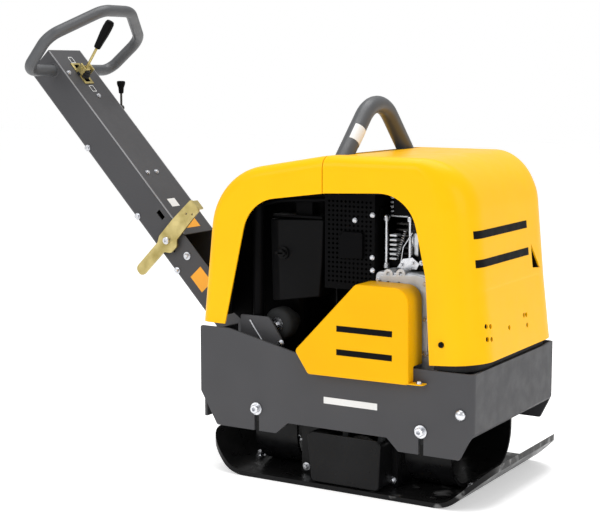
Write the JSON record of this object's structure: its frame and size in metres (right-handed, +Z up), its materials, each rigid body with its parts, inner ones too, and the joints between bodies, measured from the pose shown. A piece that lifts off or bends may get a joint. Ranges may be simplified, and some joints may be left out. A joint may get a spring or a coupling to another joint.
{
  "type": "plate compactor",
  "caption": "Reversible vibrating plate compactor with a bent base plate, rubber-mounted chassis, engine under a two-piece hood, lifting arch and a pivoting drawbar with a loop handle.",
  "frame": {"origin": "centre of the base plate's flat sole, on the ground", "axes": "+X forward (away from the drawbar), +Y the machine's left, +Z up"},
  "size_m": [1.3055, 0.4773, 1.0414],
  "materials": {
    "base_black": "semi-gloss black paint, scuffed and dusty",
    "frame_grey": "satin dark grey powder coat",
    "hood_yellow": "smooth golden yellow moulding, semi-gloss",
    "guard_yellow": "golden yellow paint on pressed sheet",
    "tube_grey": "grey powder coat on round tube",
    "engine_black": "satin black engine paint",
    "cast_aluminium": "as-cast, lightly grained",
    "zinc": "bright zinc plate",
    "yellow_zinc": "yellow chromate zinc plate on steel",
    "steel": "machined, oiled",
    "cast_iron": "machined casting, dark",
    "rubber": "matt black",
    "black_plastic": "fine-grained moulded black"
  },
  "bodies": {
    "base": {"base_plate": "base_black", "front_cradle": "base_black", "rear_cradle": "base_black", "exciter_housing": "base_black", "exciter_cover_right": "base_black", "exciter_cover_left": "base_black", "lower_belt_cover": "base_black", "rubber_mount_front_right": "rubber", "rubber_mount_front_left": "rubber", "rubber_mount_rear_right": "rubber", "rubber_mount_rear_left": "rubber"},
    "front_eccentric": {"front_eccentric_shaft": "steel", "front_gear": "steel", "exciter_pulley": "cast_iron"},
    "rear_eccentric": {"rear_eccentric_shaft": "steel", "rear_gear": "steel"},
    "chassis": {"side_plate_right": "frame_grey", "side_plate_left": "frame_grey", "front_panel": "frame_grey", "rear_panel": "frame_grey", "engine_deck": "engine_black", "pivot_ear_right": "frame_grey", "pivot_ear_left": "frame_grey", "drawbar_pin": "zinc", "slot_bolt_front_right": "zinc", "slot_bolt_front_left": "zinc", "slot_bolt_rear_right": "zinc", "slot_bolt_rear_left": "zinc", "corner_bolt_right": "zinc", "corner_bolt_left": "zinc", "hood_front": "hood_yellow", "hood_rear": "hood_yellow", "hood_seal": "rubber", "lifting_arch": "tube_grey", "lifting_frame_right": "engine_black", "lifting_frame_left": "engine_black", "belt_guard": "guard_yellow", "crankcase": "cast_aluminium", "cylinder": "cast_aluminium", "cylinder_head": "cast_aluminium", "muffler_guard": "engine_black", "recoil_starter": "engine_black", "air_filter_box": "black_plastic", "fuel_tank": "black_plastic", "drawbar_recess": "engine_black", "rubber_buffer": "rubber", "drive_belt": "rubber"},
    "clutch": {"clutch_pulley": "cast_iron"},
    "fuel_cap": {"fuel_cap": "black_plastic"},
    "drawbar": {"drawbar_channel": "frame_grey", "drawbar_cover": "frame_grey", "handle_loop": "tube_grey", "lever_bracket": "yellow_zinc", "throttle_bracket": "zinc", "latch_bolt": "zinc"},
    "travel_lever": {"travel_lever": "zinc", "lever_grip": "black_plastic"},
    "throttle": {"throttle_lever": "zinc", "throttle_knob": "black_plastic"},
    "latch": {"latch_lever": "yellow_zinc"}
  },
  "joints": [
    {"name": "shock_mount_travel", "type": "slide", "parent": "base", "child": "chassis", "axis": [0, 0, 1], "range_m": [-0.006, 0.006], "stiffness_N_per_m": 400000, "springref_m": 0.003, "deforming": ["rubber_mount_front_right", "rubber_mount_front_left", "rubber_mount_rear_right", "rubber_mount_rear_left", "drive_belt"]},
    {"name": "front_eccentric_spin", "type": "hinge", "parent": "base", "child": "front_eccentric", "pos_m": [0.048, 0, 0.075], "axis": [0, 1, 0], "continuous": true},
    {"name": "rear_eccentric_spin", "type": "hinge", "parent": "base", "child": "rear_eccentric", "pos_m": [-0.048, 0, 0.075], "axis": [0, 1, 0], "continuous": true},
    {"name": "clutch_spin", "type": "hinge", "parent": "chassis", "child": "clutch", "pos_m": [0.1, -0.2, 0.36], "axis": [0, 1, 0], "continuous": true},
    {"name": "fuel_cap_turn", "type": "hinge", "parent": "chassis", "child": "fuel_cap", "pos_m": [-0.115, 0.125, 0.5903], "axis": [0, 0, 1], "range_deg": [0, 90]},
    {"name": "drawbar_pivot", "type": "hinge", "parent": "chassis", "child": "drawbar", "pos_m": [-0.295, 0, 0.222], "axis": [0, 1, 0], "range_deg": [-20, 43.1]},
    {"name": "latch_pivot", "type": "hinge", "parent": "drawbar", "child": "latch", "pos_m": [-0.54303, -0.0705, 0.48705], "axis": [0, 1, 0], "range_deg": [0, 25], "stiffness_Nm_per_rad": 4, "springref_deg": -5.73},
    {"name": "travel_lever_pivot", "type": "hinge", "parent": "drawbar", "child": "travel_lever", "pos_m": [-0.83676, 0, 0.88875], "axis": [0, 1, 0], "range_deg": [-8, 32]},
    {"name": "throttle_pivot", "type": "hinge", "parent": "drawbar", "child": "throttle", "pos_m": [-0.78692, 0.0745, 0.79158], "axis": [0, 1, 0], "range_deg": [-25, 25]}
  ],
  "couplings": [
    {"joint": "rear_eccentric_spin", "follows": "front_eccentric_spin", "ratio": -1},
    {"joint": "clutch_spin", "follows": "front_eccentric_spin", "ratio": 0.81818}
  ]
}
